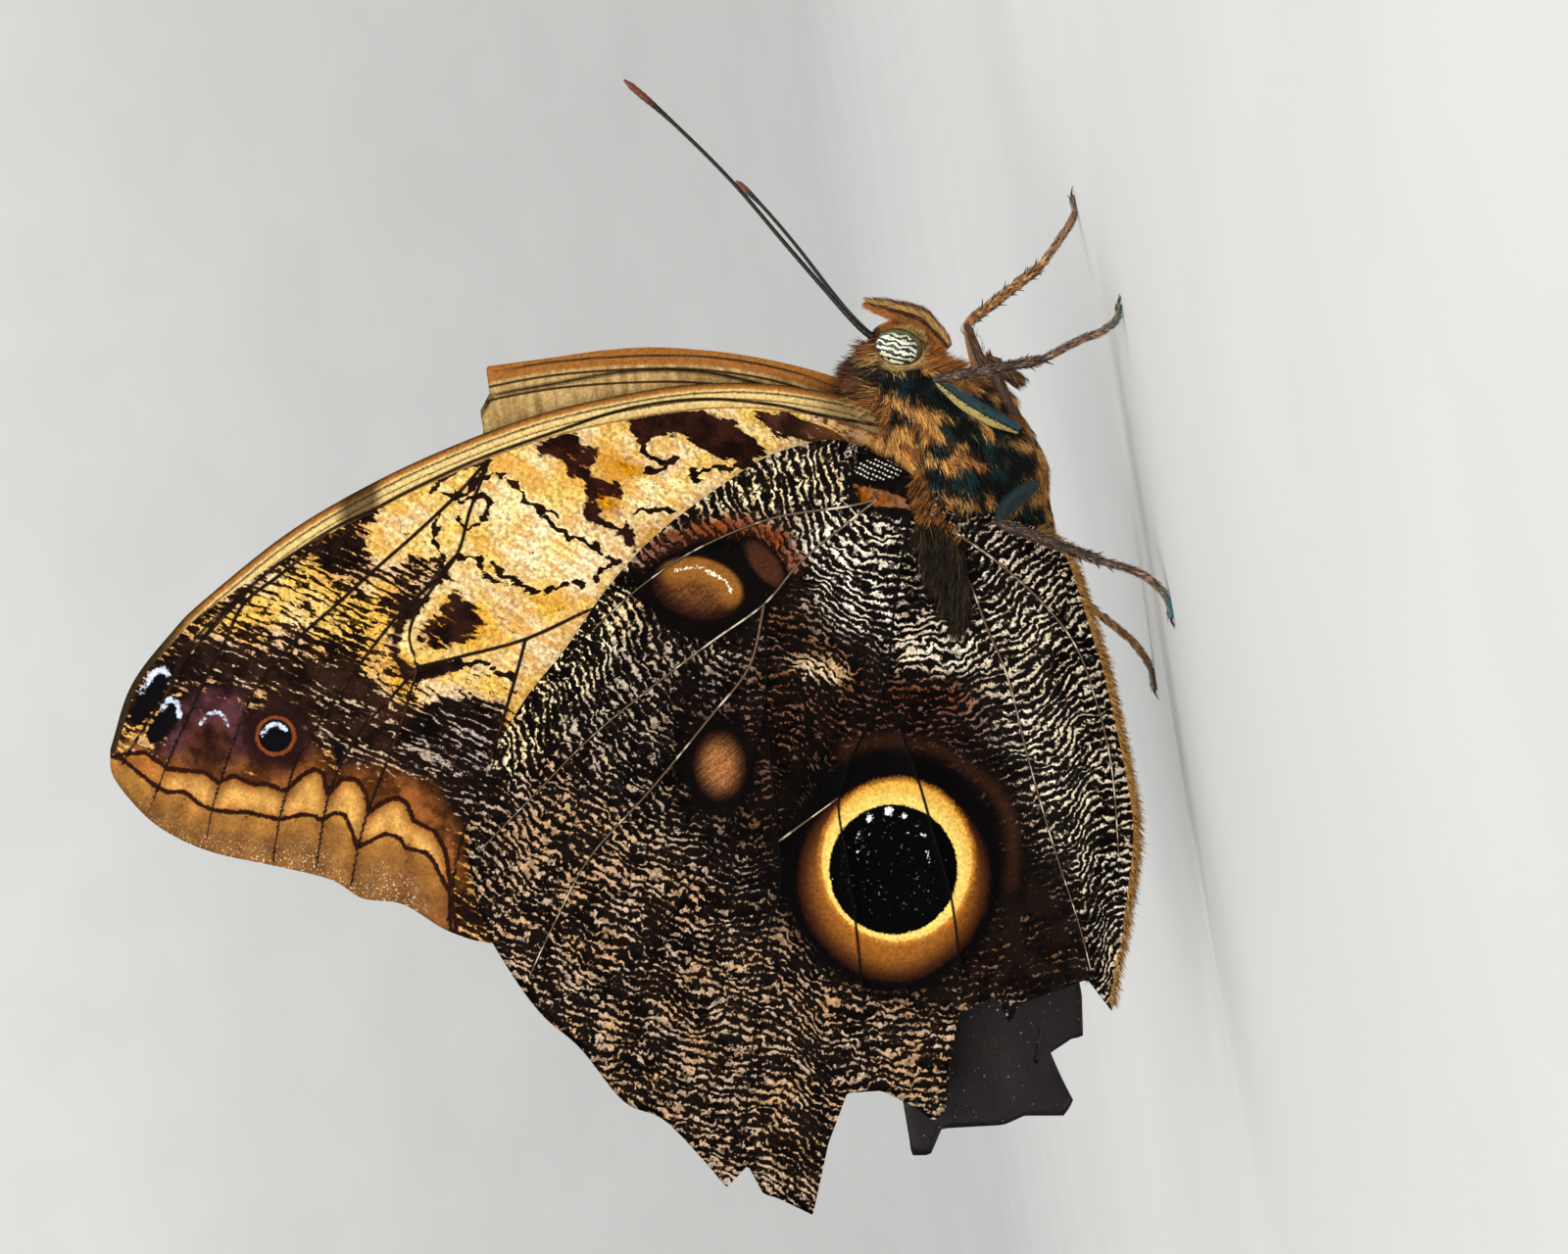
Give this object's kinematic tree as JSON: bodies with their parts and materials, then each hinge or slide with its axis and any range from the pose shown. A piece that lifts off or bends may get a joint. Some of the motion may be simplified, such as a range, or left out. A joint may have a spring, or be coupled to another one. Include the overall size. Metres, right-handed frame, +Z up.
{
  "type": "owl butterfly",
  "caption": "Life-size owl butterfly standing on its legs with worn wings closed over its back, brown and cream underside with large owl-like eyespots",
  "frame": {"origin": "centre of the bounding box on the ground plane, the feet standing on z = 0", "axes": "+X forward, out past the head; +Y to the animal's left; +Z up"},
  "size_m": [0.0972, 0.0391, 0.0898],
  "materials": {
    "fur": "short fur",
    "scales": "fine scales",
    "eye": "glossy",
    "horn": "satin",
    "leg": "fine scales",
    "forewing": "scaled membrane",
    "hindwing": "scaled membrane"
  },
  "bodies": {
    "root": {"thorax": "fur", "abdomen": "scales", "head": "fur", "eye_right": "eye", "eye_left": "eye", "palp_right": "fur", "palp_left": "fur", "proboscis": "horn", "antenna_right": "horn", "antenna_left": "horn", "foreleg_right": "leg", "foreleg_left": "leg", "midleg_right": "leg", "midleg_left": "leg", "hindleg_right": "leg", "hindleg_left": "leg", "forewing_right": "forewing", "hindwing_right": "hindwing", "forewing_left": "forewing", "hindwing_left": "hindwing"}
  },
  "joints": []
}
